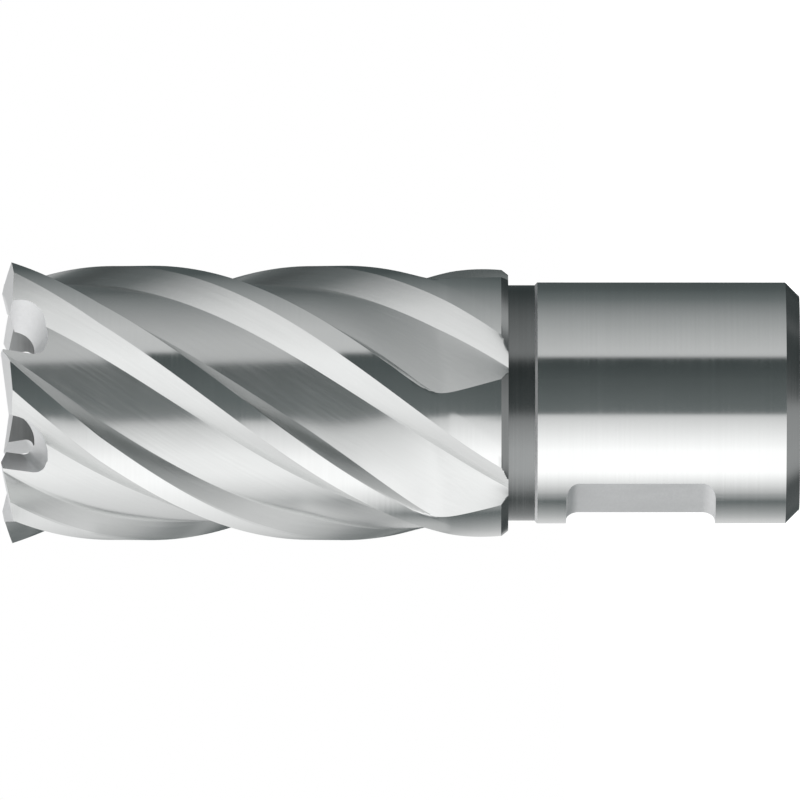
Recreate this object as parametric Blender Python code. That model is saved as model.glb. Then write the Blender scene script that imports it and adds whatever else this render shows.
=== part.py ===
"""Annular cutter with a flatted shank, six helical flutes and six ground teeth.

The cutter is one piece of high-speed steel. It stands on the end of its shank:
+Z runs along its axis, from the shank end to the teeth.
"""

import math

import bmesh
import bpy
from mathutils import Vector

MM = 0.001

# Driving sizes of the shank, in metres
SHANK_DIAMETER = 19.05 * MM
SHANK_LENGTH = 20.90 * MM
SHANK_END_CHAMFER = 1.10 * MM
SHANK_TOP_CHAMFER = 0.20 * MM
NECK_LENGTH = 2.10 * MM
NECK_UNDERCUT = 0.22 * MM

# Driving sizes of the two clamping flats, with their angles around the axis in degrees
FLAT_START = 6.64 * MM
FLAT_LENGTH = 11.78 * MM
FLAT_DEPTH = 1.85 * MM
FLAT_END_RADIUS = 1.00 * MM
FLAT_ANGLES = (-168.3, 101.7)

# Driving sizes of the fluted head
CUTTER_DIAMETER = 23.00 * MM
HEAD_LENGTH = 40.00 * MM
TOOTH_COUNT = 6
HELIX_LEAD = 91.50 * MM
TIP_PHASE = 46.6
TIP_ADVANCE = 3.6
TIP_ADVANCE_LENGTH = 7.75 * MM
BODY_CLEARANCE = 0.65 * MM
CLEARANCE_LENGTH = 10.00 * MM
LAND_RELIEF = 0.03 * MM
SHOULDER_CHAMFER = 0.56 * MM
SHOULDER_CHAMFER_ANGLE = 38.0
SHOULDER_TAPER = 0.36 * MM
SHOULDER_TAPER_LENGTH = 4.60 * MM
SHOULDER_TAPER_POWER = 1.3

# Flute section, with angles in degrees around the axis
FLUTE_DEPTH = 1.49 * MM
FLUTE_FLOOR_RISE = 0.06 * MM
LAND_ANGLE = 10.65
TRAILING_WALL_ANGLE = 12.10
RAKE_WALL_ANGLE = 5.80

# Run-out of the flutes into the shoulder
RUNOUT_START = 16.44 * MM
RUNOUT_VERTEX = 5.69 * MM
RUNOUT_SWING = 31.7
RUNOUT_ROUNDING = 0.95 * MM
RUNOUT_POWER = 1.5
NECK_STEP = 0.45 * MM

# Ground end face
WALL_THICKNESS = 4.50 * MM
RIDGE_FROM_BORE = 1.60 * MM
RIDGE_LEAD = 6.8
RELIEF_SLOPE = 7.4
OUTER_BEVEL = 11.6
INNER_BEVEL = 13.9

# Gullets between the teeth, measured at the flute floor
GULLET_DEPTH = 3.85 * MM
GULLET_WIDTH = 4.90 * MM
GULLET_CENTRE_DROP = 0.55 * MM
GULLET_CENTRE_AHEAD = 0.95 * MM
GULLET_CONE_ANGLE = 25.3
GULLET_AXIAL_RAKE = 9.7
GULLET_FILLET = 0.95 * MM

# Bore for the slug and for the pilot pin
SLUG_BORE_DEPTH = 34.00 * MM
PILOT_BORE_DIAMETER = 6.50 * MM
PILOT_BORE_CHAMFER = 0.50 * MM
BORE_CONE_ANGLE = 59.0

# Mesh density
RAKE_WALL_STEPS = 4
FLOOR_STEPS = 6
TRAILING_WALL_STEPS = 3
LAND_STEPS = 2
RUNOUT_ROW_STEP = 0.75 * MM
BODY_ROW_STEP = 1.20 * MM
TIP_ROWS = 3
TIP_ZONE = 2.90 * MM
BORE_SIDES = 96
FILLET_STEPS = 5
GULLET_ARC_STEPS = 14
GULLET_FILLET_STEPS = 4
RAKE_MARGIN = 0.5
CUT_MARGIN = 1.00 * MM

# Sizes worked out from the driving sizes
SHANK_RADIUS = SHANK_DIAMETER / 2
NECK_RADIUS = SHANK_RADIUS - NECK_UNDERCUT
SHOULDER_Z = SHANK_LENGTH + NECK_LENGTH
TIP_Z = SHOULDER_Z + HEAD_LENGTH
CUTTER_RADIUS = CUTTER_DIAMETER / 2
BODY_RADIUS = CUTTER_RADIUS - BODY_CLEARANCE
FLOOR_RADIUS = BODY_RADIUS - FLUTE_DEPTH
BREAKOUT_RADIUS = NECK_RADIUS + NECK_STEP
BORE_RADIUS = CUTTER_RADIUS - WALL_THICKNESS
RIDGE_RADIUS = BORE_RADIUS + RIDGE_FROM_BORE
PILOT_RADIUS = PILOT_BORE_DIAMETER / 2
BORE_BOTTOM_Z = TIP_Z - SLUG_BORE_DEPTH
BORE_CONE_HEIGHT = (BORE_RADIUS - PILOT_RADIUS) / math.tan(math.radians(BORE_CONE_ANGLE))
PITCH = 360.0 / TOOTH_COUNT
FLOOR_FOOT = PITCH - LAND_ANGLE - TRAILING_WALL_ANGLE
RIDGE_ANGLE = TIP_PHASE + TIP_ADVANCE + RIDGE_LEAD


def clamp(value, low, high):
    return max(low, min(high, value))


def mix(start, end, part):
    return start + (end - start) * part


def tip_advance(z):
    """Angle by which the lands run ahead of the plain helix, close to the tip."""
    return TIP_ADVANCE * clamp(1.0 - (TIP_Z - z) / TIP_ADVANCE_LENGTH, 0.0, 1.0)


def leading_edge_angle(z):
    """Angle of the first tooth's leading edge at a height, in degrees."""
    return TIP_PHASE + 360.0 * (z - TIP_Z) / HELIX_LEAD + tip_advance(z)


def outer_radii(z):
    """Radius at the leading edge of the land, and at its trailing edge."""
    from_tip = clamp((TIP_Z - z) / CLEARANCE_LENGTH, 0.0, 1.0)
    flare = BODY_CLEARANCE * (1.0 - from_tip) ** 2
    to_shoulder = clamp(1.0 - (z - SHOULDER_Z) / SHOULDER_TAPER_LENGTH, 0.0, 1.0)
    taper = SHOULDER_TAPER * to_shoulder ** SHOULDER_TAPER_POWER
    leading = BODY_RADIUS + flare - taper
    return leading, leading - LAND_RELIEF


def tooth_profile(z):
    """Section of one flute and the land ahead of it, as (angle, radius) from a leading edge."""
    leading, trailing = outer_radii(z)
    above_shoulder = z - SHOULDER_Z
    lift = clamp((RUNOUT_START - above_shoulder) / (RUNOUT_START - RUNOUT_VERTEX), 0.0, 1.0)
    lift = lift ** RUNOUT_POWER
    below_vertex = RUNOUT_VERTEX - above_shoulder
    swing = (below_vertex + math.hypot(below_vertex, RUNOUT_ROUNDING)) / 2 / RUNOUT_VERTEX
    breakout = clamp(below_vertex / RUNOUT_VERTEX, 0.0, 1.0)

    foot = mix(RAKE_WALL_ANGLE, 0.0, lift) + RUNOUT_SWING * swing
    foot_radius = mix(FLOOR_RADIUS + FLUTE_FLOOR_RISE, leading, lift)
    floor_radius = mix(FLOOR_RADIUS, BREAKOUT_RADIUS, breakout)
    floor_end = FLOOR_FOOT - tip_advance(z)
    floor_span = floor_end - foot
    bend = 1.0 + floor_span / (FLOOR_FOOT - RAKE_WALL_ANGLE)
    land_start = PITCH - LAND_ANGLE

    points = []
    for step in range(RAKE_WALL_STEPS):
        part = step / RAKE_WALL_STEPS
        points.append((foot * part, mix(leading, foot_radius, part)))
    points.append((foot, foot_radius))
    first = (RIDGE_LEAD + RAKE_MARGIN - RAKE_WALL_ANGLE) / (FLOOR_FOOT - RAKE_WALL_ANGLE)
    for step in range(FLOOR_STEPS - 1):
        part = mix(first, 1.0, step / (FLOOR_STEPS - 1))
        rise = (foot_radius - floor_radius) * (1.0 - part) ** bend
        points.append((mix(foot, floor_end, part), floor_radius + rise))
    for step in range(TRAILING_WALL_STEPS):
        part = step / TRAILING_WALL_STEPS
        points.append((mix(floor_end, land_start, part), mix(floor_radius, trailing, part)))
    for step in range(LAND_STEPS):
        part = step / LAND_STEPS
        points.append((mix(land_start, PITCH, part), mix(trailing, leading, part)))
    return points


def head_point(column, z):
    """Angle and radius of one column of the head at a height."""
    profile = tooth_profile(z)
    tooth, index = divmod(column, len(profile))
    angle, radius = profile[index]
    return leading_edge_angle(z) + tooth * PITCH + angle, radius


def polar_point(angle, radius, z):
    turn = math.radians(angle)
    return Vector((radius * math.cos(turn), radius * math.sin(turn), z))


def end_face_height(angle, radius):
    """Height of the ground end face, which falls behind each ridge peak and to both its sides."""
    behind = (RIDGE_ANGLE + 1.5 * RAKE_MARGIN - angle) % PITCH - 1.5 * RAKE_MARGIN
    arc = math.radians(max(behind, 0.0)) * RIDGE_RADIUS
    bevel = OUTER_BEVEL if radius > RIDGE_RADIUS else INNER_BEVEL
    fall = abs(radius - RIDGE_RADIUS) * math.tan(math.radians(bevel))
    return TIP_Z - arc * math.tan(math.radians(RELIEF_SLOPE)) - fall


def rim_height(column):
    """Height at which a column of the head meets the ground end face."""
    z = TIP_Z
    for _ in range(4):
        z = end_face_height(*head_point(column, z))
    return z


def spaced(low, high, step):
    """Values from low to high in equal steps, without the last."""
    count = max(1, round((high - low) / step))
    return [mix(low, high, row / count) for row in range(count)]


def body_rings():
    """Rings of points from the shank end, up the flutes and over the end face."""
    columns = range(TOOTH_COUNT * len(tooth_profile(TIP_Z)))
    start = leading_edge_angle(SHOULDER_Z)
    chamfer_top = SHOULDER_Z + SHOULDER_CHAMFER
    chamfer_slope = math.tan(math.radians(SHOULDER_CHAMFER_ANGLE))

    def turned(radius, z):
        return [polar_point(start + 360.0 * c / len(columns), radius, z) for c in columns]

    def head_ring(z):
        limit = outer_radii(chamfer_top)[0] - (chamfer_top - z) * chamfer_slope
        ring = []
        for column in columns:
            angle, radius = head_point(column, z)
            ring.append(polar_point(angle, min(radius, limit) if z < chamfer_top else radius, z))
        return ring

    rings = [
        turned(SHANK_RADIUS - SHANK_END_CHAMFER, 0.0),
        turned(SHANK_RADIUS, SHANK_END_CHAMFER),
        turned(SHANK_RADIUS, SHANK_LENGTH - SHANK_TOP_CHAMFER),
        turned(NECK_RADIUS, SHANK_LENGTH),
        turned(NECK_RADIUS, SHOULDER_Z),
    ]
    tip_zone_z = TIP_Z - TIP_ZONE
    heights = spaced(SHOULDER_Z, chamfer_top, SHOULDER_CHAMFER / 2)
    heights += spaced(chamfer_top, SHOULDER_Z + RUNOUT_VERTEX, RUNOUT_ROW_STEP)
    heights += spaced(SHOULDER_Z + RUNOUT_VERTEX, SHOULDER_Z + RUNOUT_START, BODY_ROW_STEP)
    heights += spaced(SHOULDER_Z + RUNOUT_START, tip_zone_z, BODY_ROW_STEP)
    rings += [head_ring(z) for z in heights]

    rims = [rim_height(column) for column in columns]
    for row in range(TIP_ROWS + 1):
        levels = [mix(tip_zone_z, rim, row / TIP_ROWS) for rim in rims]
        rings.append([polar_point(*head_point(c, z), z) for c, z in zip(columns, levels)])
    rim_angles = [head_point(column, rim)[0] for column, rim in zip(columns, rims)]
    for radius in (RIDGE_RADIUS, BORE_RADIUS - CUT_MARGIN):
        rings.append([polar_point(a, radius, end_face_height(a, radius)) for a in rim_angles])
    rings.append([polar_point(a, BORE_RADIUS / 2, TIP_Z - TIP_ZONE) for a in rim_angles])
    return rings


def bore_rings():
    """Rings of points up the bore: pilot hole, drill cone and slug bore."""
    profile = [
        (PILOT_RADIUS + PILOT_BORE_CHAMFER + CUT_MARGIN, -CUT_MARGIN),
        (PILOT_RADIUS, PILOT_BORE_CHAMFER),
        (PILOT_RADIUS, BORE_BOTTOM_Z - BORE_CONE_HEIGHT),
        (BORE_RADIUS, BORE_BOTTOM_Z),
        (BORE_RADIUS, TIP_Z + CUT_MARGIN),
    ]
    rings = []
    for radius, z in profile:
        rings.append([polar_point(360.0 * s / BORE_SIDES, radius, z) for s in range(BORE_SIDES)])
    return rings


def lofted_object(name, rings):
    """Closed object skinned over rings of equal size, with a flat cap on the first and last."""
    shape = bmesh.new()
    rows = [[shape.verts.new(point) for point in ring] for ring in rings]
    for below, above in zip(rows, rows[1:]):
        for index in range(len(below)):
            after = (index + 1) % len(below)
            shape.faces.new((below[index], below[after], above[after]))
            shape.faces.new((below[index], above[after], above[index]))
    shape.faces.new(reversed(rows[0]))
    shape.faces.new(rows[-1])
    bmesh.ops.recalc_face_normals(shape, faces=shape.faces)
    mesh = bpy.data.meshes.new(name)
    shape.to_mesh(mesh)
    shape.free()
    item = bpy.data.objects.new(name, mesh)
    bpy.context.scene.collection.objects.link(item)
    return item


def fillet(before, corner, after, radius):
    """Points of an arc that rounds the corner of a flat outline."""
    to_before = (before - corner).normalized()
    to_after = (after - corner).normalized()
    half = to_before.angle(to_after) / 2
    centre = corner + (to_before + to_after).normalized() * radius / math.sin(half)
    start = (corner + to_before * radius / math.tan(half) - centre).normalized()
    end = (corner + to_after * radius / math.tan(half) - centre).normalized()
    points = []
    for step in range(FILLET_STEPS + 1):
        points.append(centre + start.slerp(end, step / FILLET_STEPS) * radius)
    return points


def gullet_outline(outward):
    """Gullet section at a distance from the axis, as (ahead of the rake plane, height)."""
    grow = (outward - FLOOR_RADIUS) * math.tan(math.radians(GULLET_CONE_ANGLE))
    half_height = GULLET_DEPTH - GULLET_CENTRE_DROP
    half_width = GULLET_WIDTH - GULLET_CENTRE_AHEAD
    scale = 1.0 + grow / half_height
    centre = Vector((GULLET_CENTRE_AHEAD, TIP_Z - GULLET_CENTRE_DROP))
    lean = math.tan(math.radians(GULLET_AXIAL_RAKE))
    top = TIP_Z + CUT_MARGIN

    def on_arc(turn):
        across = half_width * scale * math.cos(turn)
        return centre + Vector((across, half_height * scale * math.sin(turn)))

    turn = math.radians(-90.0)
    for _ in range(8):
        rake = -lean * (TIP_Z - on_arc(turn).y)
        reach = clamp((rake - centre.x) / (half_width * scale), -1.0, 1.0)
        turn = -math.acos(reach)
    corner = on_arc(turn)
    steps = range(GULLET_FILLET_STEPS, GULLET_ARC_STEPS + 1)
    arc = [on_arc(mix(turn, 0.0, step / GULLET_ARC_STEPS)) for step in steps]
    rake_top = Vector((lean * CUT_MARGIN, top))
    outline = [rake_top]
    outline += fillet(rake_top, corner, arc[0], GULLET_FILLET * scale)
    outline += arc
    outline.append(Vector((arc[-1].x, top)))
    return outline


def make_gullet_cutter(tooth):
    """Cone-like cutter that opens the gullet ahead of one tooth, deeper at its outer end."""
    turn = math.radians(RIDGE_ANGLE + tooth * PITCH)
    outward = Vector((math.cos(turn), math.sin(turn), 0.0))
    ahead = Vector((-math.sin(turn), math.cos(turn), 0.0))
    rings = []
    for reach in (BORE_RADIUS * 2 / 3, CUTTER_RADIUS + CUT_MARGIN):
        outline = gullet_outline(reach)
        rings.append([outward * reach + ahead * p.x + Vector((0.0, 0.0, p.y)) for p in outline])
    return lofted_object(f"gullet_cutter_{tooth + 1}", rings)


def make_flat_cutter(index, angle):
    """Block with rounded ends that mills one clamping flat."""
    turn = math.radians(angle)
    outward = Vector((math.cos(turn), math.sin(turn), 0.0))
    aside = Vector((-math.sin(turn), math.cos(turn), 0.0))
    bottom = SHANK_RADIUS - FLAT_DEPTH
    top = SHANK_RADIUS + CUT_MARGIN
    corners = [
        Vector((top, FLAT_START)),
        Vector((bottom, FLAT_START)),
        Vector((bottom, FLAT_START + FLAT_LENGTH)),
        Vector((top, FLAT_START + FLAT_LENGTH)),
    ]
    outline = [corners[0]]
    outline += fillet(corners[0], corners[1], corners[2], FLAT_END_RADIUS)
    outline += fillet(corners[1], corners[2], corners[3], FLAT_END_RADIUS)
    outline.append(corners[3])
    rings = []
    for side in (-SHANK_RADIUS, SHANK_RADIUS):
        rings.append([outward * p.x + aside * side + Vector((0.0, 0.0, p.y)) for p in outline])
    return lofted_object(f"flat_cutter_{index + 1}", rings)


def cut_away(body, cutter):
    cutter.hide_render = True
    cutter.display_type = 'WIRE'
    cut = body.modifiers.new(cutter.name, 'BOOLEAN')
    cut.operation = 'DIFFERENCE'
    cut.solver = 'EXACT'
    cut.object = cutter


def high_speed_steel():
    material = bpy.data.materials.new("high_speed_steel")
    material.use_nodes = True
    shader = material.node_tree.nodes["Principled BSDF"]
    shader.inputs["Base Color"].default_value = (0.60, 0.61, 0.61, 1.0)
    shader.inputs["Metallic"].default_value = 1.0
    shader.inputs["Roughness"].default_value = 0.22
    return material


def make_cutter_body():
    body = lofted_object("cutter_body", body_rings())
    body.data.materials.append(high_speed_steel())
    cut_away(body, lofted_object("bore_cutter", bore_rings()))
    for tooth in range(TOOTH_COUNT):
        cut_away(body, make_gullet_cutter(tooth))
    for index, angle in enumerate(FLAT_ANGLES):
        cut_away(body, make_flat_cutter(index, angle))
    body.data.shade_smooth()
    body.data.set_sharp_from_angle(angle=math.radians(25.0))
    return body


for old in list(bpy.data.objects):
    bpy.data.objects.remove(old, do_unlink=True)
make_cutter_body()
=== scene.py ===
"""Looks of an annular cutter: a fine model of its ground steel, its finishes and its studio."""
import math

import bmesh
import bpy
from bpy.props import FloatProperty, FloatVectorProperty, IntProperty, PointerProperty
from mathutils import Matrix, Vector


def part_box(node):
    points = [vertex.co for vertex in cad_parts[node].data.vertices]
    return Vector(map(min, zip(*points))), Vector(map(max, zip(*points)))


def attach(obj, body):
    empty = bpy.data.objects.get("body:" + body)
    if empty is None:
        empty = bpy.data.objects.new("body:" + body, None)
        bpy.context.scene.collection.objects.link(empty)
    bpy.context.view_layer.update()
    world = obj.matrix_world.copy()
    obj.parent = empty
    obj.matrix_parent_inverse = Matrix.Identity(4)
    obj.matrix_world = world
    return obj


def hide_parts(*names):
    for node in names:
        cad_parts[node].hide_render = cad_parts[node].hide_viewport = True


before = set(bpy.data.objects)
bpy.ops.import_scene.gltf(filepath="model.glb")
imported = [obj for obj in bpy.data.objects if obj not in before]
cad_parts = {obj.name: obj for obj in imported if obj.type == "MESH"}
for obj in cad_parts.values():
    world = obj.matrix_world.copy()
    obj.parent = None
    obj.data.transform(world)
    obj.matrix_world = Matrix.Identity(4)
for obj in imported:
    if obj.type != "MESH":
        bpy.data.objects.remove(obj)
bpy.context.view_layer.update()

bl_info = {
    "name": "Annular Cutter",
    "version": (1, 0, 0),
    "blender": (4, 5, 0),
    "location": "View3D > Sidebar > Cutter",
    "description": "Models a fluted annular cutter with ground teeth and lights it in a small studio",
    "category": "Add Mesh",
}

MM = 0.001
NODE = "cutter_body"
PIECE = "ground_cutter"
TIP_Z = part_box(NODE)[1].z
UP = Vector((0.0, 0.0, 1.0))

# Finishes, in the order of the cutter's material slots
FINISHES = ("bright_ground", "satin_flute", "turned_neck", "ground_tooth", "bored_wall", "milled_flat")
BRIGHT, FLUTE, NECK, TOOTH, BORE, FLAT = range(len(FINISHES))

# Mesh density of the fine model
RAKE_COLUMNS = 12
FLOOR_COLUMNS = 18
TRAILING_COLUMNS = 12
LAND_COLUMNS = 6
RUNOUT_ROW = 0.26 * MM
BODY_ROW = 0.46 * MM
SHANK_ROW = 2.0 * MM
NECK_ROW = 0.5 * MM
TIP_ROWS = 9
END_FACE_ROWS = 2
CHAMFER_ROWS = 8
BORE_SIDES = 160
GULLET_STEPS = 42
FILLET_SEGMENTS = 12

# Steps of a gullet's arc that the rounding at its foot takes the place of
GULLET_FOOT_STEPS = 12
# Rounds in which the rim's height and the gullet's foot are found
RIM_ROUNDS = 5
FOOT_ROUNDS = 8
# Shares of the bore's radius: where the surface is closed inside, and where a gullet wheel starts
PLUG_SHARE = 0.5
WHEEL_SHARE = 2 / 3
# Edges that turn more than this stay sharp
SHARP_ANGLE = math.radians(20.0)
# Distance below which two points count as one
SEAM = 1e-7
# How far a tool reaches past the steel, and the uncut steel into the bore
CUT_MARGIN = 1.0 * MM

# Sockets of a colour Mix node
MIX_FACTOR, MIX_A, MIX_B, MIX_RESULT = 0, 6, 7, 2
WHITE = (1.0, 1.0, 1.0, 1.0)


def length(name, millimetres, description):
    """A size in metres, shown in the scene's unit."""
    return FloatProperty(name=name, description=description, default=millimetres * MM,
                         min=0.0, precision=5, subtype='DISTANCE', unit='LENGTH')


def turn(name, degrees, description):
    """An angle, shown in degrees."""
    return FloatProperty(name=name, description=description, default=math.radians(degrees),
                         subtype='ANGLE', unit='ROTATION')


def share(name, value, description, top=1.0):
    """A plain number from zero up."""
    return FloatProperty(name=name, description=description, default=value,
                         min=0.0, max=top, subtype='FACTOR')


def colour(name, value, description):
    """A linear colour."""
    return FloatVectorProperty(name=name, description=description, default=value,
                               size=3, min=0.0, max=1.0, subtype='COLOR')


class ShankSizes(bpy.types.PropertyGroup):
    """Sizes of the shank, its clamping flats and the neck"""
    diameter: length("Diameter", 19.05, "Diameter of the straight shank")
    top: length("Top", 20.90, "Height at which the shank ends and the neck starts")
    end_chamfer: length("End chamfer", 1.10, "Chamfer around the shank's end face")
    top_chamfer: length("Top chamfer", 0.20, "Small chamfer at the shank's upper end")
    undercut: length("Neck undercut", 0.22, "How far the neck lies below the shank's surface")
    shoulder: length("Shoulder", 23.00, "Height of the shoulder under the fluted head")
    flats: IntProperty(name="Flats", description="Number of clamping flats", default=2, min=1)
    flat_start: length("Flat start", 6.64, "Height at which the clamping flats start")
    flat_length: length("Flat length", 11.78, "Length of each clamping flat")
    flat_depth: length("Flat depth", 1.85, "Depth of each clamping flat")
    flat_radius: length("Flat end radius", 1.00, "Radius at both ends of a flat")
    flat_angle: turn("First flat", -168.3, "Angle of the first flat around the axis")
    flat_spacing: turn("Flat spacing", -90.0, "Angle from one flat to the next")


class HeadSizes(bpy.types.PropertyGroup):
    """Sizes of the fluted head and its shoulder"""
    teeth: IntProperty(name="Teeth", description="Number of teeth and flutes", default=6, min=2)
    cutting_diameter: length("Cutting diameter", 23.00, "Circle on which the cutting corners lie")
    clearance: length("Body clearance", 0.65, "How far the body lies inside the cutting corners")
    clearance_length: length("Clearance length", 10.0, "Length over which the corners flare out")
    lead: length("Helix lead", 91.50, "Length of one full turn of a flute")
    tip_phase: turn("Tip phase", 46.6, "Angle of the first leading edge at the tip")
    tip_advance: turn("Tip advance", 3.6, "Angle by which the lands run ahead at the tip")
    advance_length: length("Advance length", 7.75, "Length over which the lands run ahead")
    relief: length("Land relief", 0.03, "Drop from a land's leading edge to its trailing edge")
    chamfer: length("Shoulder chamfer", 0.56, "Height of the chamfer around the shoulder")
    chamfer_angle: turn("Chamfer angle", 38.0, "Angle of the shoulder chamfer to the axis")
    taper: length("Shoulder taper", 0.36, "Reduction of the collar's radius at the shoulder")
    taper_length: length("Taper length", 4.60, "Length of the collar's taper")
    taper_power: share("Taper power", 1.3, "Shape of the collar's taper", 4.0)
    flute_depth: length("Flute depth", 1.49, "Depth of the flutes below the body")
    floor_rise: length("Floor rise", 0.06, "Rise of the flute floor at the rake wall")
    land_angle: turn("Land width", 10.65, "Width of each land around the axis")
    trailing_angle: turn("Trailing wall", 12.10, "Width of the wall behind each land")
    rake_angle: turn("Rake wall", 5.80, "Width of the wall ahead of each land")
    runout_start: length("Run-out start", 16.44, "Height above the shoulder where flutes fade out")
    runout_vertex: length("Run-out vertex", 5.69, "Height above the shoulder where they turn")
    runout_swing: turn("Run-out swing", 31.7, "Angle that the fading edge sweeps")
    runout_rounding: length("Run-out rounding", 0.95, "Rounding of the run-out's corner")
    runout_power: share("Run-out power", 1.5, "Shape of the rising flute floor", 4.0)
    breakout: length("Breakout", 0.45, "Step from the neck to the flute floor at the shoulder")


class ToothSizes(bpy.types.PropertyGroup):
    """Sizes of the teeth, the gullets and the bores"""
    wall: length("Wall", 4.50, "Wall between the slug bore and the cutting corners")
    ridge: length("Ridge", 1.60, "Distance of the ridge from the slug bore")
    ridge_lead: turn("Ridge lead", 6.8, "Angle of the rake plane ahead of the leading edge")
    ridge_margin: turn("Ridge margin", 0.5, "Angle between the rake plane and the next column")
    ridge_reach: turn("Ridge reach", 0.75, "Angle by which the peak reaches ahead of the rake plane")
    relief: turn("Relief", 7.4, "Slope of the end face behind the cutting edge")
    outer_bevel: turn("Outer bevel", 11.6, "Slope of the end face outside the ridge")
    inner_bevel: turn("Inner bevel", 13.9, "Slope of the end face inside the ridge")
    gullet_depth: length("Gullet depth", 3.85, "Depth of a gullet at the flute floor")
    gullet_width: length("Gullet width", 4.90, "Width of a gullet at the flute floor")
    gullet_span: turn("Gullet span", 25.0, "Angle over which the end face lies inside a gullet")
    gullet_drop: length("Gullet drop", 0.55, "Depth of the gullet's widest line")
    gullet_ahead: length("Gullet offset", 0.95, "Distance of the gullet's axis from the rake plane")
    gullet_cone: turn("Gullet cone", 25.3, "Slope of the gullet's floor")
    axial_rake: turn("Axial rake", 9.7, "Lean of the rake face")
    gullet_fillet: length("Gullet fillet", 0.95, "Rounding at the foot of the rake face")
    slug_depth: length("Slug bore depth", 34.0, "Depth of the bore that takes the slug")
    pilot_diameter: length("Pilot bore", 6.50, "Diameter of the bore for the pilot pin")
    pilot_chamfer: length("Pilot chamfer", 0.50, "Chamfer of the pilot bore")
    drill_point: turn("Drill point", 59.0, "Half angle of the cone between the two bores")


class SteelFinishes(bpy.types.PropertyGroup):
    """Colours and roughness of the ground steel"""
    bright: colour("Ground steel", (0.86, 0.87, 0.865), "Colour of the shank and the lands")
    satin: colour("Satin steel", (0.76, 0.77, 0.765), "Colour of the flutes")
    # The neck's dark colour is partly its darker turned finish and partly painted shade for the recess
    # between shoulder and shank and for the chamfers
    dark: colour("Turned steel", (0.29, 0.30, 0.30), "Colour of the neck and the shoulder")
    tooth: colour("Tooth steel", (0.84, 0.845, 0.85), "Colour of the gullets and the end face")
    # The bore's colour is darkened as painted shade for the shade deep inside the bore
    bore: colour("Bored steel", (0.42, 0.43, 0.43), "Colour of the bore")
    bright_roughness: share("Ground roughness", 0.13, "Roughness of the shank and the lands")
    satin_roughness: share("Satin roughness", 0.20, "Roughness of the flutes")
    dark_roughness: share("Turned roughness", 0.22, "Roughness of the neck and the shoulder")
    tooth_roughness: share("Tooth roughness", 0.52, "Roughness of the gullets and the end face")
    bore_roughness: share("Bore roughness", 0.34, "Roughness of the bore")


class StudioSettings(bpy.types.PropertyGroup):
    """Camera, tent, floor and light of the studio"""
    lens: FloatProperty(name="Lens", description="Focal length of the camera",
                        default=1200.0, min=50.0, unit='CAMERA')
    frame_width: length("Frame width", 63.24, "Width of the picture at the cutter's axis")
    frame_centre: length("Frame centre", 31.54, "Height on the cutter at the picture's centre")
    frame_side: length("Frame side", 0.23, "Distance of the picture's centre from the axis")
    tent_radius: length("Tent radius", 200.0, "Radius of the reflection tent")
    floor_size: length("Floor size", 6000.0, "Side of the pale floor")
    floor: colour("Floor", (0.80, 0.80, 0.80), "Colour of the floor")
    floor_roughness: share("Floor roughness", 0.9, "Roughness of the floor")
    floor_glow: share("Floor glow", 0.72, "Glow that whitens the floor in the picture")
    ambient: share("Ambient light", 0.45, "Strength of the light from all around")
    lamp: FloatProperty(name="Lamp", description="Power of each soft lamp",
                        default=2.2, min=0.0, unit='POWER')
    lamp_size: length("Lamp size", 500.0, "Side of each soft lamp")


def clamp(value, low, high):
    """A value kept between two limits."""
    return max(low, min(high, value))


def mix(start, end, part):
    """The value a part of the way from one value to another."""
    return start + (end - start) * part


def spaced(low, high, step):
    """Values from low to high in equal steps, without the last."""
    count = max(1, round((high - low) / step))
    return [mix(low, high, index / count) for index in range(count)]


def polar_point(angle, radius, z):
    """Point at an angle around the axis, a radius and a height."""
    return Vector((radius * math.cos(angle), radius * math.sin(angle), z))


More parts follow.
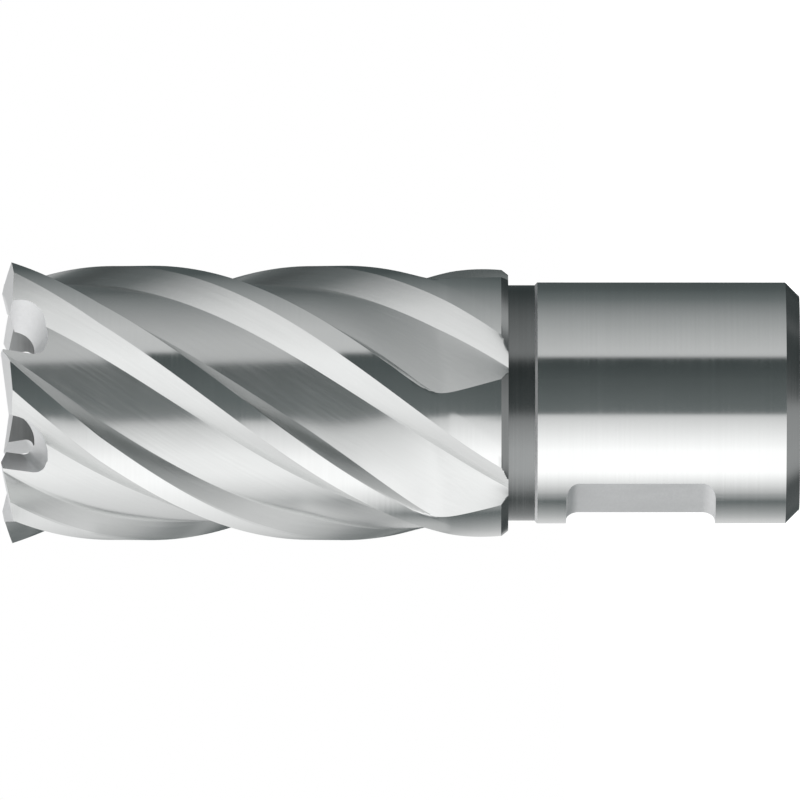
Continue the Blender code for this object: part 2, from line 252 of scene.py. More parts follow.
class CutterForm:
    """Rules of the cutter's outer surface, worked out from the sizes."""

    def __init__(self, shank, head, tooth):
        self.shank, self.head, self.tooth = shank, head, tooth
        self.shank_radius = shank.diameter / 2
        self.neck_radius = self.shank_radius - shank.undercut
        self.cutting_radius = head.cutting_diameter / 2
        self.body_radius = self.cutting_radius - head.clearance
        self.floor_radius = self.body_radius - head.flute_depth
        self.bore_radius = self.cutting_radius - tooth.wall
        self.ridge_radius = self.bore_radius + tooth.ridge
        self.pitch = math.tau / head.teeth
        self.floor_foot = self.pitch - head.land_angle - head.trailing_angle
        self.land_start = self.pitch - head.land_angle
        self.ridge_angle = head.tip_phase + head.tip_advance + tooth.ridge_lead
        self.floor_width = self.floor_foot - head.rake_angle
        self.chamfer_top = shank.shoulder + head.chamfer
        self.columns = self.tooth_columns()

    def tooth_columns(self):
        """Columns of one tooth and flute, as the name of the stretch and the share along it."""
        margin = self.tooth.ridge_lead + self.tooth.ridge_margin - self.head.rake_angle
        first = margin / self.floor_width
        columns = [("rake", index / RAKE_COLUMNS) for index in range(RAKE_COLUMNS)]
        columns.append(("floor", 0.0))
        columns += [("floor", mix(first, 1.0, index / FLOOR_COLUMNS)) for index in range(FLOOR_COLUMNS)]
        columns += [("trailing", index / TRAILING_COLUMNS) for index in range(TRAILING_COLUMNS)]
        columns += [("land", index / LAND_COLUMNS) for index in range(LAND_COLUMNS)]
        return columns

    def advance(self, z):
        """Angle by which the lands run ahead of the plain helix at a height."""
        return self.head.tip_advance * clamp(1.0 - (TIP_Z - z) / self.head.advance_length, 0.0, 1.0)

    def edge_angle(self, z):
        """Angle of the first leading edge at a height."""
        return self.head.tip_phase + math.tau * (z - TIP_Z) / self.head.lead + self.advance(z)

    def outer_radii(self, z):
        """Radius at the leading edge of the land, and at its trailing edge."""
        from_tip = clamp((TIP_Z - z) / self.head.clearance_length, 0.0, 1.0)
        flare = self.head.clearance * (1.0 - from_tip) ** 2
        low = clamp(1.0 - (z - self.shank.shoulder) / self.head.taper_length, 0.0, 1.0)
        taper = self.head.taper * low ** self.head.taper_power
        leading = self.body_radius + flare - taper
        return leading, leading - self.head.relief

    def lift(self, z):
        """Share by which the foot of the rake wall has risen to the land at a height."""
        head = self.head
        above = z - self.shank.shoulder
        part = (head.runout_start - above) / (head.runout_start - head.runout_vertex)
        return clamp(part, 0.0, 1.0) ** head.runout_power

    def section(self, z):
        """Values of the flute section at a height that its points share."""
        head = self.head
        leading, trailing = self.outer_radii(z)
        lift = self.lift(z)
        below = head.runout_vertex - (z - self.shank.shoulder)
        swing = (below + math.hypot(below, head.runout_rounding)) / 2 / head.runout_vertex
        fade = clamp(below / head.runout_vertex, 0.0, 1.0)
        wall = mix(head.rake_angle, 0.0, lift)
        foot = wall + head.runout_swing * swing
        foot_radius = mix(self.floor_radius + head.floor_rise, leading, lift)
        low = mix(self.floor_radius, self.neck_radius + head.breakout, fade)
        end = self.floor_foot - self.advance(z)
        bend = 1.0 + (end - foot) / self.floor_width
        return leading, trailing, wall, foot, foot_radius, low, end, bend

    def point(self, column, z):
        """Angle and radius of one column at a height."""
        leading, trailing, wall, foot, foot_radius, low, end, bend = self.section(z)
        tooth, index = divmod(column, len(self.columns))
        stretch, part = self.columns[index]
        if stretch == "rake":
            angle, radius = foot * part, mix(leading, foot_radius, part ** (foot / max(wall, SEAM)))
        elif stretch == "floor":
            angle = mix(foot, end, part)
            radius = low + (foot_radius - low) * (1.0 - part) ** bend
        elif stretch == "trailing":
            angle, radius = mix(end, self.land_start, part), mix(low, trailing, part)
        else:
            angle, radius = mix(self.land_start, self.pitch, part), mix(trailing, leading, part)
        radius = min(radius, self.chamfer_radius(z))
        return self.edge_angle(z) + tooth * self.pitch + angle, radius

    def chamfer_radius(self, z):
        """Largest radius that the shoulder's chamfer leaves at a height."""
        below = max(self.chamfer_top - z, 0.0)
        return self.outer_radii(max(z, self.chamfer_top))[0] - below * math.tan(self.head.chamfer_angle)

    def finish(self, column, z):
        """Finish of the face that starts at one column and height."""
        if z < self.chamfer_top and self.point(column, z)[1] > self.chamfer_radius(z) - SEAM:
            return NECK
        stretch, part = self.columns[column % len(self.columns)]
        wall, foot = self.section(z)[2:4]
        bright = stretch == "land" or stretch == "rake" and part < 1.0 - wall / foot
        return BRIGHT if bright else FLUTE

    def end_face(self, angle, radius):
        """Height of the ground end face, which falls behind each ridge peak and to its sides."""
        tooth = self.tooth
        ahead = (angle - self.ridge_angle - tooth.ridge_reach) % self.pitch
        behind = self.pitch - ahead - tooth.ridge_reach
        if ahead <= tooth.gullet_span:
            most = self.pitch - tooth.gullet_span - tooth.ridge_reach
            behind = most * ahead / tooth.gullet_span
        arc = max(behind, 0.0) * self.ridge_radius
        bevel = tooth.outer_bevel if radius > self.ridge_radius else tooth.inner_bevel
        fall = abs(radius - self.ridge_radius) * math.tan(bevel)
        return TIP_Z - arc * math.tan(tooth.relief) - fall

    def rim(self, column):
        """Height at which a column meets the end face."""
        z = TIP_Z
        for _ in range(RIM_ROUNDS):
            z = self.end_face(*self.point(column, z))
        return z

    def rows(self):
        """Rows of the surface from the shank's end to inside the slug bore, each with its finish."""
        shank, head = self.shank, self.head
        count = len(self.columns) * head.teeth
        columns = range(count + 1)
        angles = [self.point(c, shank.shoulder)[0] for c in columns]
        rows = []

        def turned(radius, z, finish):
            ring = [polar_point(angle, radius, z) for angle in angles]
            rows.append((ring, [finish] * count))

        def fluted(heights):
            ring = [polar_point(*self.point(c, z), z) for c, z in zip(columns, heights)]
            rows.append((ring, [self.finish(c, z) for c, z in zip(range(count), heights)]))

        turned(self.shank_radius - shank.end_chamfer, 0.0, NECK)
        shank_top = shank.top - shank.top_chamfer
        for z in spaced(shank.end_chamfer, shank_top, SHANK_ROW):
            turned(self.shank_radius, z, BRIGHT)
        turned(self.shank_radius, shank_top, TOOTH)
        for z in spaced(shank.top, shank.shoulder, NECK_ROW):
            turned(self.neck_radius, z, NECK)
        turned(self.neck_radius, shank.shoulder, NECK)

        vertex = shank.shoulder + head.runout_vertex
        fading = shank.shoulder + head.runout_start
        lower_tip = TIP_Z - TIP_ROWS * BODY_ROW
        levels = spaced(shank.shoulder, self.chamfer_top, head.chamfer / CHAMFER_ROWS)
        levels += spaced(self.chamfer_top, vertex, RUNOUT_ROW) + spaced(vertex, fading, BODY_ROW)
        for z in levels + spaced(fading, lower_tip, BODY_ROW):
            fluted([z] * (count + 1))
        rims = [self.rim(c) for c in columns]
        for index in range(TIP_ROWS):
            fluted([mix(lower_tip, rim, index / TIP_ROWS) for rim in rims])

        rim_angles, rim_radii = zip(*(self.point(c, rim) for c, rim in zip(columns, rims)))

        def ground(radii):
            pairs = zip(rim_angles, radii)
            ring = [polar_point(angle, radius, self.end_face(angle, radius)) for angle, radius in pairs]
            rows.append((ring, [TOOTH] * count))

        ridge = [self.ridge_radius] * (count + 1)
        inside = [self.bore_radius - CUT_MARGIN] * (count + 1)
        for outer, inner in ((rim_radii, ridge), (ridge, inside)):
            for index in range(END_FACE_ROWS):
                ground([mix(a, b, index / END_FACE_ROWS) for a, b in zip(outer, inner)])
        ground(inside)
        plug = [polar_point(angle, self.bore_radius * PLUG_SHARE, lower_tip) for angle in rim_angles]
        rows.append((plug, [TOOTH] * count))
        return rows


def cutter_form(scene):
    """The cutter's form with the sizes that the scene holds."""
    return CutterForm(scene.cutter_shank, scene.cutter_head, scene.cutter_tooth)


def deselect():
    """Leave edit mode and deselect everything."""
    if bpy.context.mode != 'OBJECT':
        bpy.ops.object.mode_set(mode='OBJECT')
    bpy.ops.object.select_all(action='DESELECT')


def added(name):
    """Name the primitive that was just added."""
    item = bpy.context.active_object
    item.name = name
    item.data.name = name
    return item


def pick(item):
    """Select one object alone and make it the active one."""
    deselect()
    item.select_set(True)
    bpy.context.view_layer.objects.active = item


def select_where(item, kind, test):
    """Select the faces, edges or vertices of an object in edit mode that pass a test."""
    shape = bmesh.from_edit_mesh(item.data)
    bpy.ops.mesh.select_all(action='DESELECT')
    bpy.context.tool_settings.mesh_select_mode = (kind == "verts", kind == "edges", kind == "faces")
    for element in getattr(shape, kind):
        if test(element):
            element.select_set(True)
    shape.select_flush_mode()
    bmesh.update_edit_mesh(item.data)


def cut(body, tool):
    """Cut a tool's shape out of the body and remove the tool."""
    pick(body)
    bpy.ops.object.modifier_add(type='BOOLEAN')
    modifier = body.modifiers[-1]
    modifier.operation = 'DIFFERENCE'
    modifier.solver = 'EXACT'
    modifier.material_mode = 'TRANSFER'
    modifier.object = tool
    before = len(body.data.vertices)
    bpy.ops.object.modifier_apply(modifier=modifier.name)
    if len(body.data.vertices) == before:
        raise RuntimeError(f"{tool.name} cut nothing")
    bpy.data.objects.remove(tool, do_unlink=True)


def place(item, ahead, up, outward, origin):
    """Turn a tool so that its X, Y and Z follow three directions, with the place in its mesh."""
    matrix = Matrix((ahead, up, outward)).transposed().to_4x4()
    matrix.translation = origin
    pick(item)
    item.matrix_world = matrix
    bpy.ops.object.transform_apply(location=True, rotation=True, scale=True)


def rounded(before, corner, after, radius):
    """Points of an arc that rounds the corner of a flat outline."""
    to_before, to_after = (before - corner).normalized(), (after - corner).normalized()
    half = to_before.angle(to_after) / 2
    centre = corner + (to_before + to_after).normalized() * radius / math.sin(half)
    start, end = (corner + side * radius / math.tan(half) - centre for side in (to_before, to_after))
    turns = [index / FILLET_SEGMENTS for index in range(FILLET_SEGMENTS + 1)]
    return [centre + start.normalized().slerp(end.normalized(), part) * radius for part in turns]


def around_axis(angle):
    """Directions outward and ahead at an angle around the cutter's axis."""
    outward = Vector((math.cos(angle), math.sin(angle), 0.0))
    ahead = Vector((-math.sin(angle), math.cos(angle), 0.0))
    return outward, ahead


# Steel finishes

# Noise of the grinding lines and of the clouds that break them up, and the lines' height
LINE_DETAIL = 2.0
LINE_ROUGHNESS = 0.6
LINE_HEIGHT = 0.02 * MM
CLOUD_SCALE = 260.0
CLOUD_DETAIL = 3.0
# Gain that brings the product of two noises near a half to about one, and its usual range
SHADE_GAIN = 4.0
SHADE_RANGE = (0.4, 1.8)


def add_node(tree, kind, **values):
    """Add a shader node with its settings."""
    node = tree.nodes.new(kind)
    for name, value in values.items():
        setattr(node, name, value)
    return node


def set_inputs(node, **values):
    """Set a node's inputs by their names, with an underscore for each space."""
    for name, value in values.items():
        node.inputs[name.replace("_", " ")].default_value = value
    return node


def math_node(tree, operation, *values):
    """Result of a Math node whose inputs take the given sockets and numbers."""
    node = add_node(tree, "ShaderNodeMath", operation=operation)
    for socket, value in zip(node.inputs, values):
        if isinstance(value, bpy.types.NodeSocket):
            tree.links.new(value, socket)
        else:
            socket.default_value = value
    return node.outputs[0]


def grinding_lines_group():
    """Fine parallel lines that follow a helix, a circle or the axis, as heights and shades."""
    group = bpy.data.node_groups.new("grinding_lines", 'ShaderNodeTree')
    for name, default in (("Twist", 0.0), ("Across", 1.0), ("Along", 1.0)):
        socket = group.interface.new_socket(name, in_out='INPUT', socket_type='NodeSocketFloat')
        socket.default_value = default
    for name in ("Height", "Shade"):
        group.interface.new_socket(name, in_out='OUTPUT', socket_type='NodeSocketFloat')
    source = add_node(group, "NodeGroupInput")
    result = add_node(group, "NodeGroupOutput")
    coordinates = add_node(group, "ShaderNodeTexCoord")
    axes = add_node(group, "ShaderNodeSeparateXYZ")
    group.links.new(coordinates.outputs["Object"], axes.inputs[0])
    unwind = add_node(group, "ShaderNodeVectorRotate", rotation_type='Z_AXIS')
    group.links.new(coordinates.outputs["Object"], unwind.inputs["Vector"])
    angle = math_node(group, 'MULTIPLY', axes.outputs["Z"], source.outputs["Twist"])
    group.links.new(math_node(group, 'MULTIPLY', angle, -1.0), unwind.inputs["Angle"])
    scale = add_node(group, "ShaderNodeCombineXYZ")
    for axis, name in (("X", "Across"), ("Y", "Across"), ("Z", "Along")):
        group.links.new(source.outputs[name], scale.inputs[axis])
    stretch = add_node(group, "ShaderNodeVectorMath", operation='MULTIPLY')
    group.links.new(unwind.outputs[0], stretch.inputs[0])
    group.links.new(scale.outputs[0], stretch.inputs[1])
    lines = set_inputs(add_node(group, "ShaderNodeTexNoise"),
                       Scale=1.0, Detail=LINE_DETAIL, Roughness=LINE_ROUGHNESS)
    group.links.new(stretch.outputs[0], lines.inputs["Vector"])
    group.links.new(lines.outputs["Fac"], result.inputs["Height"])
    cloud = set_inputs(add_node(group, "ShaderNodeTexNoise"), Scale=CLOUD_SCALE, Detail=CLOUD_DETAIL)
    group.links.new(coordinates.outputs["Object"], cloud.inputs["Vector"])
    shade = math_node(group, 'MULTIPLY', lines.outputs["Fac"], cloud.outputs["Fac"])
    group.links.new(math_node(group, 'MULTIPLY', shade, SHADE_GAIN), result.inputs["Shade"])


def varied(tree, shade, middle, spread):
    """A value that the shade of the lines varies by the spread to both sides of its middle."""
    value = set_inputs(add_node(tree, "ShaderNodeMapRange"), From_Min=SHADE_RANGE[0],
                       From_Max=SHADE_RANGE[1], To_Min=middle - spread, To_Max=middle + spread)
    tree.links.new(shade, value.inputs["Value"])
    return value.outputs[0]


def steel(finish, tint, roughness, across, along, bump, spread, fleck, twist=0.0, metallic=1.0):
    """Ground steel whose fine lines vary its height, roughness and brightness."""
    material = bpy.data.materials.new(FINISHES[finish])
    material.use_nodes = True
    tree = material.node_tree
    shader = tree.nodes["Principled BSDF"]
    shader.inputs["Metallic"].default_value = metallic
    lines = add_node(tree, "ShaderNodeGroup", node_tree=bpy.data.node_groups["grinding_lines"])
    set_inputs(lines, Twist=twist, Across=across, Along=along)
    tree.links.new(varied(tree, lines.outputs["Shade"], roughness, spread), shader.inputs["Roughness"])
    shaded = add_node(tree, "ShaderNodeVectorMath", operation='SCALE')
    shaded.inputs[0].default_value = tint
    tree.links.new(varied(tree, lines.outputs["Shade"], 1.0, fleck), shaded.inputs["Scale"])
    tree.links.new(shaded.outputs[0], shader.inputs["Base Color"])
    relief = set_inputs(add_node(tree, "ShaderNodeBump"), Strength=bump, Distance=LINE_HEIGHT)
    tree.links.new(lines.outputs["Height"], relief.inputs["Height"])
    tree.links.new(relief.outputs[0], shader.inputs["Normal"])


# Operators

class CUTTER_OT_finishes(bpy.types.Operator):
    """Make the steel finishes of the cutter's surfaces"""
    bl_idname = "cutter.finishes"
    bl_label = "Steel finishes"

    def execute(self, context):
        steels = context.scene.cutter_steel
        grinding_lines_group()
        steel(BRIGHT, steels.bright, steels.bright_roughness,
              across=40.0, along=5200.0, bump=0.03, spread=0.02, fleck=0.02)
        steel(FLUTE, steels.satin, steels.satin_roughness,
              across=4200.0, along=140.0, bump=0.05, spread=0.03, fleck=0.03,
              twist=math.tau / context.scene.cutter_head.lead, metallic=0.94)
        # Neck, shoulder and chamfer steel: a darker turned finish with painted shade added to its
        # colour
        steel(NECK, steels.dark, steels.dark_roughness,
              across=40.0, along=6000.0, bump=0.20, spread=0.04, fleck=0.06)
        steel(TOOTH, steels.tooth, steels.tooth_roughness,
              across=3000.0, along=3000.0, bump=0.10, spread=0.04, fleck=0.04)
        # Bore steel whose dark colour is painted shade inside the bore
        steel(BORE, steels.bore, steels.bore_roughness,
              across=40.0, along=4200.0, bump=0.30, spread=0.05, fleck=0.08)
        steel(FLAT, steels.tooth, steels.tooth_roughness,
              across=900.0, along=5200.0, bump=0.12, spread=0.04, fleck=0.04)
        return {'FINISHED'}


class CUTTER_OT_body(bpy.types.Operator):
    """Roll a fine grid into the shank, the neck, the fluted head and the end face"""
    bl_idname = "cutter.body"
    bl_label = "Fluted body"

    def execute(self, context):
        rows = cutter_form(context.scene).rows()
        across, up = len(rows[0][1]), len(rows) - 1
        deselect()
        bpy.ops.mesh.primitive_grid_add(x_subdivisions=across, y_subdivisions=up, size=1.0)
        body = added(PIECE)
        for name in FINISHES:
            body.data.materials.append(bpy.data.materials[name])
        points = [point for ring, finish in rows for point in ring]
        if len(points) != len(body.data.vertices):
            raise RuntimeError("the grid doesn't fit the cutter's rows")
        for vertex, point in zip(body.data.vertices, points):
            vertex.co = point
        finishes = [finish for ring, row in rows[:-1] for finish in row]
        body.data.polygons.foreach_set("material_index", finishes)
        bpy.ops.object.mode_set(mode='EDIT')
        bpy.ops.mesh.select_all(action='SELECT')
        bpy.ops.mesh.remove_doubles(threshold=SEAM)
        bpy.ops.mesh.select_mode(type='EDGE')
        for end in (0.0, rows[-1][0][0].z):
            select_where(body, "edges",
                         lambda edge: edge.is_boundary and abs(edge.verts[0].co.z - end) < SEAM)
            bpy.ops.mesh.edge_face_add()
        bpy.ops.mesh.select_all(action='SELECT')
        bpy.ops.mesh.normals_make_consistent(inside=False)
        bpy.ops.object.mode_set(mode='OBJECT')
        return {'FINISHED'}


class CUTTER_OT_bore(bpy.types.Operator):
    """Bore the hole for the slug and the hole for the pilot pin"""
    bl_idname = "cutter.bore"
    bl_label = "Slug bore and pilot bore"

    def execute(self, context):
        form, tooth = cutter_form(context.scene), context.scene.cutter_tooth
        bottom = TIP_Z - tooth.slug_depth
        top = TIP_Z + CUT_MARGIN
        pilot = tooth.pilot_diameter / 2
        cone = (form.bore_radius - pilot) / math.tan(tooth.drill_point)
        deselect()
        bpy.ops.mesh.primitive_cylinder_add(vertices=BORE_SIDES, radius=form.bore_radius,
                                            depth=top - bottom, location=(0.0, 0.0, (top + bottom) / 2))
        tool = added("boring_tool")
        bpy.ops.object.transform_apply(location=True, rotation=True, scale=True)
        tool.data.materials.append(bpy.data.materials[FINISHES[BORE]])
        bpy.ops.object.mode_set(mode='EDIT')
        self.extrude_down(tool, cone, pilot / form.bore_radius)
        self.extrude_down(tool, bottom - cone - tooth.pilot_chamfer, 1.0)
        mouth = tooth.pilot_chamfer + CUT_MARGIN
        self.extrude_down(tool, mouth, (pilot + mouth) / pilot)
        bpy.ops.object.mode_set(mode='OBJECT')
        cut(bpy.data.objects[PIECE], tool)
        return {'FINISHED'}

    def extrude_down(self, tool, depth, scale):
        """Extrude the lowest face down and scale it about the axis."""
        shape = bmesh.from_edit_mesh(tool.data)
        low = min(vertex.co.z for vertex in shape.verts)
        select_where(tool, "faces", lambda face: all(abs(v.co.z - low) < SEAM for v in face.verts))
        bpy.ops.mesh.extrude_region_move(TRANSFORM_OT_translate={"value": (0.0, 0.0, -depth)})
        bpy.ops.transform.resize(value=(scale, scale, 1.0), center_override=(0.0, 0.0, low - depth))


class CUTTER_OT_gullets(bpy.types.Operator):
    """Grind a cone-shaped gullet ahead of each tooth"""
    bl_idname = "cutter.gullets"
    bl_label = "Gullets"

    def execute(self, context):
        form, tooth = cutter_form(context.scene), context.scene.cutter_tooth
        body = bpy.data.objects[PIECE]
        reaches = (form.bore_radius * WHEEL_SHARE, form.cutting_radius + CUT_MARGIN)
        outlines = [self.outline(form, tooth, reach) for reach in reaches]
        for index in range(context.scene.cutter_head.teeth):
            wheel = self.wheel(outlines, reaches)
            outward, ahead = around_axis(form.ridge_angle + index * form.pitch)
            place(wheel, ahead, UP, outward, UP * TIP_Z)
            cut(body, wheel)
        return {'FINISHED'}

    def wheel(self, outlines, reaches):
        """Stretch a cylinder into the gullet's shape, which grows outward like a cone."""
        deselect()
        bpy.ops.mesh.primitive_cylinder_add(vertices=len(outlines[0]), radius=1.0, depth=2.0)
        wheel = added("gullet_wheel")
        wheel.data.materials.append(bpy.data.materials[FINISHES[TOOTH]])
        around = sorted(wheel.data.vertices, key=lambda vertex: math.atan2(vertex.co.y, vertex.co.x))
        rings = [[v for v in around if v.co.z < 0.0], [v for v in around if v.co.z > 0.0]]
        for ring, outline, reach in zip(rings, outlines, reaches):
            for vertex, point in zip(ring, outline):
                vertex.co = (point.x, point.y, reach)
        return wheel

    def outline(self, form, tooth, reach):
        """Section of the gullet at a distance from the axis, as distance ahead and height."""
        half_height = tooth.gullet_depth - tooth.gullet_drop
        half_width = tooth.gullet_width - tooth.gullet_ahead
        scale = 1.0 + (reach - form.floor_radius) * math.tan(tooth.gullet_cone) / half_height
        lean = math.tan(tooth.axial_rake)
        centre = Vector((tooth.gullet_ahead, -tooth.gullet_drop))

        def on_arc(angle):
            across = Vector((half_width * math.cos(angle), half_height * math.sin(angle)))
            return centre + across * scale

        angle = -math.pi / 2
        for _ in range(FOOT_ROUNDS):
            foot = lean * on_arc(angle).y
            angle = -math.acos(clamp((foot - centre.x) / (half_width * scale), -1.0, 1.0))
        arc = [on_arc(angle * (1.0 - index / GULLET_STEPS)) for index in range(GULLET_STEPS + 1)]
        corner, arc = arc[0], arc[GULLET_FOOT_STEPS:]
        top = Vector((lean * CUT_MARGIN, CUT_MARGIN))
        outline = [top]
        outline += rounded(top, corner, arc[0], tooth.gullet_fillet * scale)
        outline += arc
        outline.append(Vector((arc[-1].x, CUT_MARGIN)))
        return outline


class CUTTER_OT_flats(bpy.types.Operator):
    """Mill the clamping flats of the shank"""
    bl_idname = "cutter.flats"
    bl_label = "Clamping flats"

    def execute(self, context):
        form, shank = cutter_form(context.scene), context.scene.cutter_shank
        height = shank.flat_depth + CUT_MARGIN
        middle = form.shank_radius - shank.flat_depth + height / 2
        for index in range(shank.flats):
            deselect()
            bpy.ops.mesh.primitive_cube_add(size=1.0)
            mill = added("flat_mill")
            mill.data.materials.append(bpy.data.materials[FINISHES[FLAT]])
            bpy.ops.object.mode_set(mode='EDIT')
            bpy.ops.mesh.select_all(action='SELECT')
            bpy.ops.transform.resize(value=(shank.diameter, shank.flat_length, height),
                                     center_override=(0.0, 0.0, 0.0))
            select_where(mill, "edges",
                         lambda edge: all(v.co.z < 0.0 for v in edge.verts)
                         and abs(edge.verts[0].co.x - edge.verts[1].co.x) > height)
            bpy.ops.mesh.bevel(offset=shank.flat_radius, offset_type='OFFSET', affect='EDGES',
                               segments=FILLET_SEGMENTS)
            bpy.ops.object.mode_set(mode='OBJECT')
            outward, ahead = around_axis(shank.flat_angle + index * shank.flat_spacing)
            origin = outward * middle + UP * (shank.flat_start + shank.flat_length / 2)
            place(mill, ahead, UP, outward, origin)
            cut(bpy.data.objects[PIECE], mill)
        return {'FINISHED'}


class CUTTER_OT_fit(bpy.types.Operator):
    """Smooth the finished cutter and let it stand for the plain solid"""
    bl_idname = "cutter.fit"
    bl_label = "Fit to the solid"

    def execute(self, context):
        body = bpy.data.objects[PIECE]
        pick(body)
        bpy.ops.object.shade_smooth_by_angle(angle=SHARP_ANGLE)
        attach(body, "root")
        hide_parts(NODE)
        return {'FINISHED'}


class CUTTER_OT_studio(bpy.types.Operator):
    """Set up the pale floor, the reflection tent, the soft lamps and the camera"""
    bl_idname = "cutter.studio"
    bl_label = "Studio"

    # Brightness around the tent at seven levels, from the lowest up, as pairs of the angle in
    # degrees from the camera's side towards +X, and the strength there
    FAR_BELOW = (
        (-180.0, 0.50), (-150.0, 0.80), (-110.0, 0.92), (-45.0, 0.76), (5.0, 0.64),
        (65.0, 0.30), (95.0, 0.14), (130.0, 0.10), (160.0, 0.12), (180.0, 0.30),
    )
    WELL_BELOW = (
        (-180.0, 0.22), (-140.0, 0.22), (-112.0, 0.15), (-90.0, 0.28), (-75.0, 0.50), (-45.0, 0.72),
        (-15.0, 0.72), (22.0, 0.52), (64.0, 0.24), (76.0, 0.24), (95.0, 1.00), (114.0, 0.95),
        (130.0, 0.12), (180.0, 0.10),
    )
    BELOW = (
        (-180.0, 0.14), (-128.0, 0.12), (-90.0, 1.00), (-75.0, 1.10), (-45.0, 1.02), (-16.0, 0.60),
        (-14.0, 0.22), (-6.0, 0.12), (40.0, 0.07), (43.0, 0.46), (63.0, 0.50), (105.0, 0.14),
        (165.0, 0.06), (180.0, 0.08),
    )
    SHANK = (
        (-180.0, 0.76), (-149.0, 0.62), (-122.0, 0.31), (-107.0, 0.13), (-90.0, 0.60), (-69.0, 1.18),
        (-46.0, 1.18), (-11.4, 0.66), (-10.3, 0.155), (42.5, 0.045), (44.5, 0.58), (86.5, 0.34),
        (116.0, 0.155), (138.0, 0.09), (180.0, 0.068),
    )
    SHOULDER = (
        (-180.0, 0.06), (-150.0, 0.16), (-135.0, 0.56), (-122.0, 0.52), (-107.0, 0.19), (-90.0, 0.70),
        (-72.0, 1.12), (-49.0, 1.10), (-14.0, 0.58), (-12.4, 0.15), (38.5, 0.07), (41.0, 0.58),
        (86.0, 0.40), (116.0, 0.18), (138.0, 0.08), (180.0, 0.05),
    )
    HEAD = (
        (-180.0, 0.20), (-165.0, 0.44), (-150.0, 0.62), (-118.0, 0.83), (-69.0, 1.12), (-50.0, 1.08),
        (-24.0, 0.72), (-17.5, 0.52), (-14.5, 0.18), (0.0, 0.13), (39.0, 0.07), (41.0, 0.58),
        (62.0, 0.57), (108.0, 0.26), (135.0, 0.09), (180.0, 0.07),
    )
    ABOVE = (
        (-180.0, 0.80), (-100.0, 0.90), (-75.0, 1.04), (-30.0, 1.08), (0.0, 0.94), (30.0, 0.82),
        (60.0, 0.46), (90.0, 0.12), (120.0, 0.04), (140.0, 0.10), (155.0, 0.50), (180.0, 0.80),
    )
    # Each next level up, with the elevations in degrees between which the tent changes to it
    LEVELS = (
        (WELL_BELOW, -60.0, -52.0), (BELOW, -33.0, -26.0), (SHANK, -16.0, -10.0),
        (SHOULDER, -1.9, 0.1), (HEAD, 1.4, 2.8), (ABOVE, 9.5, 20.0),
    )
    # Cool tint of the darkest parts of the tent, and the brightness over which it fades
    COOL = (-0.20, 0.085, 0.09)
    COOL_FADE = 0.17
    TENT_SEGMENTS = 96
    TENT_RINGS = 48
    # Soft lamps, with their places in metres
    LAMPS = (("key_lamp", (-0.45, -0.50, 0.55)), ("fill_lamp", (0.50, -0.35, 0.45)))
    # Width of the camera's sensor in millimetres, and its clipping distance in camera distances
    SENSOR = 36.0
    CLIP_FACTOR = 4.0

    def execute(self, context):
        studio = context.scene.cutter_studio
        self.white_world(context.scene, studio)
        self.floor(studio)
        self.tent(studio)
        self.lamps(context.scene, studio)
        self.camera(context.scene, studio)
        context.scene.view_settings.view_transform = 'Standard'
        return {'FINISHED'}

    def seen(self, tree):
        """One for what the camera, a reflection or a clear piece sees, and zero for other light."""
        path = add_node(tree, "ShaderNodeLightPath")
        total = math_node(tree, 'ADD', path.outputs["Is Camera Ray"], path.outputs["Is Glossy Ray"])
        total = math_node(tree, 'ADD', total, path.outputs["Is Transmission Ray"])
        return math_node(tree, 'MINIMUM', total, 1.0)

    def white_world(self, scene, studio):
        world = bpy.data.worlds.new("studio_world")
        world.use_nodes = True
        scene.world = world
        tree = world.node_tree
        background = tree.nodes["Background"]
        background.inputs["Color"].default_value = WHITE
        level = set_inputs(add_node(tree, "ShaderNodeMapRange"), To_Min=studio.ambient, To_Max=1.0)
        tree.links.new(self.seen(tree), level.inputs["Value"])
        tree.links.new(level.outputs[0], background.inputs["Strength"])

    def floor(self, studio):
        deselect()
        bpy.ops.mesh.primitive_plane_add(size=studio.floor_size)
        plane = added("floor")
        material = bpy.data.materials.new("pale_floor")
        material.use_nodes = True
        tree = material.node_tree
        shader = tree.nodes["Principled BSDF"]
        shader.inputs["Base Color"].default_value = (*studio.floor, 1.0)
        shader.inputs["Roughness"].default_value = studio.floor_roughness
        shader.inputs["Specular IOR Level"].default_value = 0.0
        shader.inputs["Emission Color"].default_value = WHITE
        glow = math_node(tree, 'MULTIPLY', self.seen(tree), studio.floor_glow)
        tree.links.new(glow, shader.inputs["Emission Strength"])
        plane.data.materials.append(material)
        plane.visible_glossy = False

    def cooled(self, level):
        """A grey level with the cool tint of the dark parts."""
        shade = math.exp(-level / self.COOL_FADE)
        return [level * (1.0 + tint * shade) for tint in self.COOL] + [1.0]

    def ramp(self, tree, turn_share, bands):
        """Brightness that changes around the tent."""
        ramp = add_node(tree, "ShaderNodeValToRGB")
        elements = ramp.color_ramp.elements
        while len(elements) < len(bands):
            elements.new(1.0)
        for element, (angle, level) in zip(elements, bands):
            element.position = (angle + 180.0) / 360.0
            element.color = self.cooled(level)
        tree.links.new(turn_share, ramp.inputs["Fac"])
        return ramp.outputs["Color"]

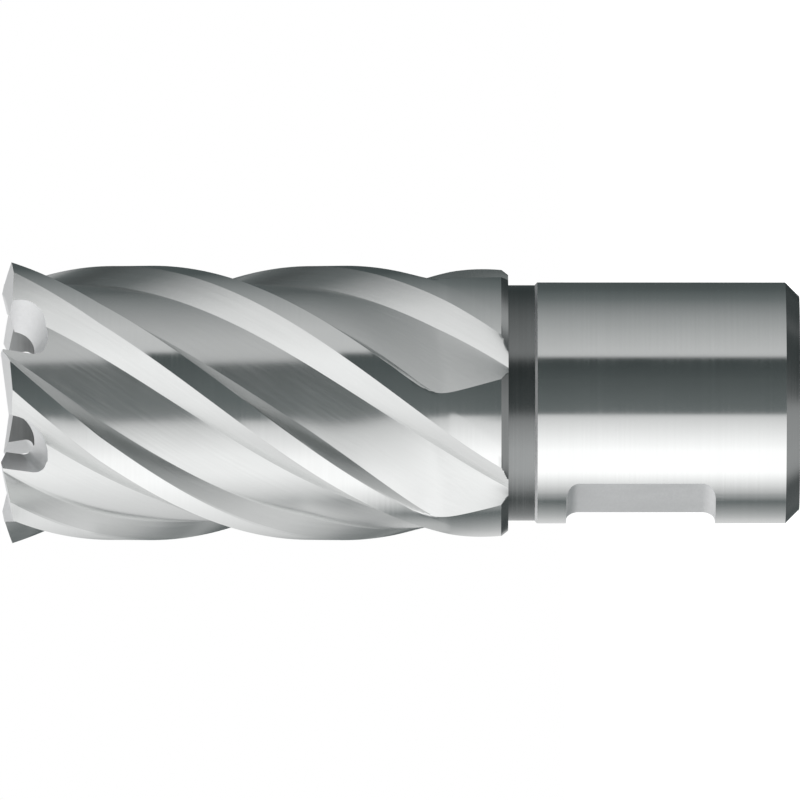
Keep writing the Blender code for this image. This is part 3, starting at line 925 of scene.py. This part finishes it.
    def tent(self, studio):
        deselect()
        bpy.ops.mesh.primitive_uv_sphere_add(segments=self.TENT_SEGMENTS, ring_count=self.TENT_RINGS,
                                             radius=studio.tent_radius, location=UP * TIP_Z / 2)
        tent = added("reflection_tent")
        bpy.ops.object.shade_smooth()
        material = bpy.data.materials.new("tent_light")
        material.use_nodes = True
        material.cycles.emission_sampling = 'NONE'
        tree = material.node_tree
        tree.nodes.remove(tree.nodes["Principled BSDF"])
        coordinates = add_node(tree, "ShaderNodeTexCoord")
        axes = add_node(tree, "ShaderNodeSeparateXYZ")
        tree.links.new(coordinates.outputs["Object"], axes.inputs[0])
        front = math_node(tree, 'MULTIPLY', axes.outputs["Y"], -1.0)
        angle = math_node(tree, 'ARCTAN2', axes.outputs["X"], front)
        turn_share = math_node(tree, 'MULTIPLY_ADD', angle, 1.0 / math.tau, 0.5)
        height = math_node(tree, 'DIVIDE', axes.outputs["Z"], studio.tent_radius)
        elevation = math_node(tree, 'ARCSINE', height)
        glow = self.ramp(tree, turn_share, self.FAR_BELOW)
        for bands, start, end in self.LEVELS:
            glow = self.blend(tree, elevation, start, end, glow, self.ramp(tree, turn_share, bands))
        light = add_node(tree, "ShaderNodeEmission")
        tree.links.new(glow, light.inputs["Color"])
        tree.links.new(light.outputs[0], tree.nodes["Material Output"].inputs["Surface"])
        tent.data.materials.append(material)
        tent.visible_camera = False
        tent.visible_diffuse = False
        tent.visible_shadow = False
        tent.visible_transmission = False
        tent.visible_volume_scatter = False

    def blend(self, tree, elevation, start, end, below, above):
        """Blend two colours between two elevations."""
        part = add_node(tree, "ShaderNodeMapRange", interpolation_type='SMOOTHSTEP')
        set_inputs(part, From_Min=math.radians(start), From_Max=math.radians(end))
        tree.links.new(elevation, part.inputs["Value"])
        blend = add_node(tree, "ShaderNodeMix", data_type='RGBA')
        tree.links.new(part.outputs[0], blend.inputs[MIX_FACTOR])
        tree.links.new(below, blend.inputs[MIX_A])
        tree.links.new(above, blend.inputs[MIX_B])
        return blend.outputs[MIX_RESULT]

    def lamps(self, scene, studio):
        middle = UP * TIP_Z / 2
        for name, spot in self.LAMPS:
            data = bpy.data.lights.new(name, 'AREA')
            data.size = studio.lamp_size
            data.energy = studio.lamp
            lamp = bpy.data.objects.new(name, data)
            scene.collection.objects.link(lamp)
            lamp.location = spot
            lamp.rotation_euler = (lamp.location - middle).to_track_quat('Z', 'Y').to_euler()
            lamp.visible_glossy = False

    def camera(self, scene, studio):
        data = bpy.data.cameras.new("camera")
        data.sensor_width = self.SENSOR
        data.lens = studio.lens
        distance = studio.frame_width * data.lens / data.sensor_width
        data.clip_end = distance * self.CLIP_FACTOR
        camera = bpy.data.objects.new("camera", data)
        scene.collection.objects.link(camera)
        right, up, back = Vector((0.0, 0.0, -1.0)), Vector((1.0, 0.0, 0.0)), Vector((0.0, -1.0, 0.0))
        matrix = Matrix((right, up, back)).transposed().to_4x4()
        matrix.translation = Vector((studio.frame_side, -distance, studio.frame_centre))
        camera.matrix_world = matrix
        scene.camera = camera


class CUTTER_PT_panel(bpy.types.Panel):
    """Steps that model and light the annular cutter"""
    bl_label = "Annular Cutter"
    bl_idname = "CUTTER_PT_panel"
    bl_space_type = 'VIEW_3D'
    bl_region_type = 'UI'
    bl_category = "Cutter"

    def draw(self, context):
        for operator in OPERATORS:
            self.layout.operator(operator.bl_idname)


GROUPS = {
    "cutter_shank": ShankSizes,
    "cutter_head": HeadSizes,
    "cutter_tooth": ToothSizes,
    "cutter_steel": SteelFinishes,
    "cutter_studio": StudioSettings,
}
OPERATORS = (
    CUTTER_OT_finishes, CUTTER_OT_body, CUTTER_OT_bore, CUTTER_OT_gullets,
    CUTTER_OT_flats, CUTTER_OT_fit, CUTTER_OT_studio,
)
CLASSES = (*GROUPS.values(), *OPERATORS, CUTTER_PT_panel)


def register():
    for item in CLASSES:
        bpy.utils.register_class(item)
    for name, group in GROUPS.items():
        setattr(bpy.types.Scene, name, PointerProperty(type=group))


def unregister():
    for name in GROUPS:
        delattr(bpy.types.Scene, name)
    for item in reversed(CLASSES):
        bpy.utils.unregister_class(item)


def main():
    register()
    bpy.ops.cutter.finishes()
    bpy.ops.cutter.body()
    bpy.ops.cutter.bore()
    bpy.ops.cutter.gullets()
    bpy.ops.cutter.flats()
    bpy.ops.cutter.fit()
    bpy.ops.cutter.studio()


if __name__ == "__main__":
    main()
